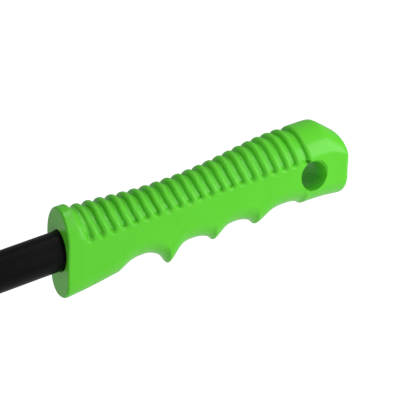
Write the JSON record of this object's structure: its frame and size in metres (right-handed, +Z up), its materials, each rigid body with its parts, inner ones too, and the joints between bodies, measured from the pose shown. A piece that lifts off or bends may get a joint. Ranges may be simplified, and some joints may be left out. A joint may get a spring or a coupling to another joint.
{
  "type": "post driver",
  "caption": "Manual slide-over post driver: capped heavy steel tube with upswept bolted side handles and ribbed, finger-grooved green grips.",
  "frame": {"origin": "middle of the tube's open mouth, on the ground that it stands on", "axes": "+Z up along the tube, towards the capped end; +X along the right handle's reach; front is -Y"},
  "size_m": [0.5558, 0.088, 0.6103],
  "materials": {
    "powder_coat": "satin black powder coat",
    "weld_coated": "powder-coated weld bead",
    "bare_steel": "bare mill steel",
    "green_grip": "smooth glossy moulded grip, bright green",
    "zinc": "bright zinc plating",
    "black_plastic": "matt"
  },
  "bodies": {
    "root": {"body_tube": "powder_coat", "top_cap": "powder_coat", "handle_socket_right": "powder_coat", "handle_socket_left": "powder_coat", "socket_gusset_right": "powder_coat", "socket_gusset_left": "powder_coat", "handle_tube_right": "powder_coat", "handle_tube_left": "powder_coat", "cap_weld": "weld_coated", "socket_weld_right": "weld_coated", "socket_weld_left": "weld_coated", "plug_weld_1": "weld_coated", "plug_weld_2": "weld_coated", "plug_weld_3": "weld_coated", "plug_weld_4": "weld_coated", "gusset_weld_right_front_body": "weld_coated", "gusset_weld_right_front_socket": "weld_coated", "gusset_weld_right_back_body": "weld_coated", "gusset_weld_right_back_socket": "weld_coated", "gusset_weld_left_front_body": "weld_coated", "gusset_weld_left_front_socket": "weld_coated", "gusset_weld_left_back_body": "weld_coated", "gusset_weld_left_back_socket": "weld_coated", "strike_plug": "bare_steel", "grip_right": "green_grip", "grip_left": "green_grip", "handle_bolt_right": "zinc", "handle_bolt_left": "zinc", "head_washer_right": "zinc", "head_washer_left": "zinc", "nut_washer_right": "zinc", "nut_washer_left": "zinc", "lock_nut_right": "zinc", "lock_nut_left": "zinc", "handle_end_plug_right": "black_plastic", "handle_end_plug_left": "black_plastic"}
  },
  "joints": []
}
